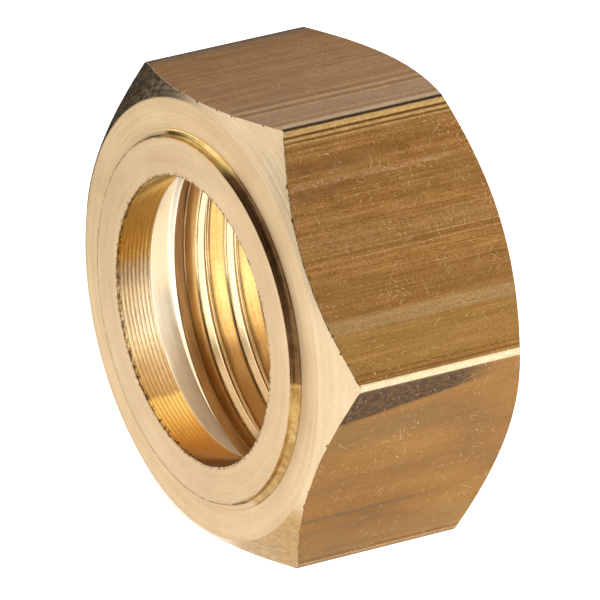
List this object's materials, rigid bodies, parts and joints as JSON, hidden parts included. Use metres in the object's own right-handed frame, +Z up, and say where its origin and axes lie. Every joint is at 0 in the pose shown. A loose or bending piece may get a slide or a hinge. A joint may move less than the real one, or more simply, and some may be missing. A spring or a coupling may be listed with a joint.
{
  "type": "union nut",
  "caption": "Brass hexagonal union nut with a raised ring round its pipe bore, a conical olive seat and an internal parallel pipe thread.",
  "frame": {"origin": "centre of the pipe bore at the front of the raised ring", "axes": "+Y along the nut's axis, from the raised ring to the threaded mouth; +Z up, square to two of the hexagon flats; +X through two of the corners"},
  "size_m": [0.0276, 0.0126, 0.024],
  "materials": {
    "brass": "as turned on the end faces, bore and thread, and as drawn on the hexagon flats"
  },
  "bodies": {
    "root": {"union_nut": "brass"}
  },
  "joints": []
}
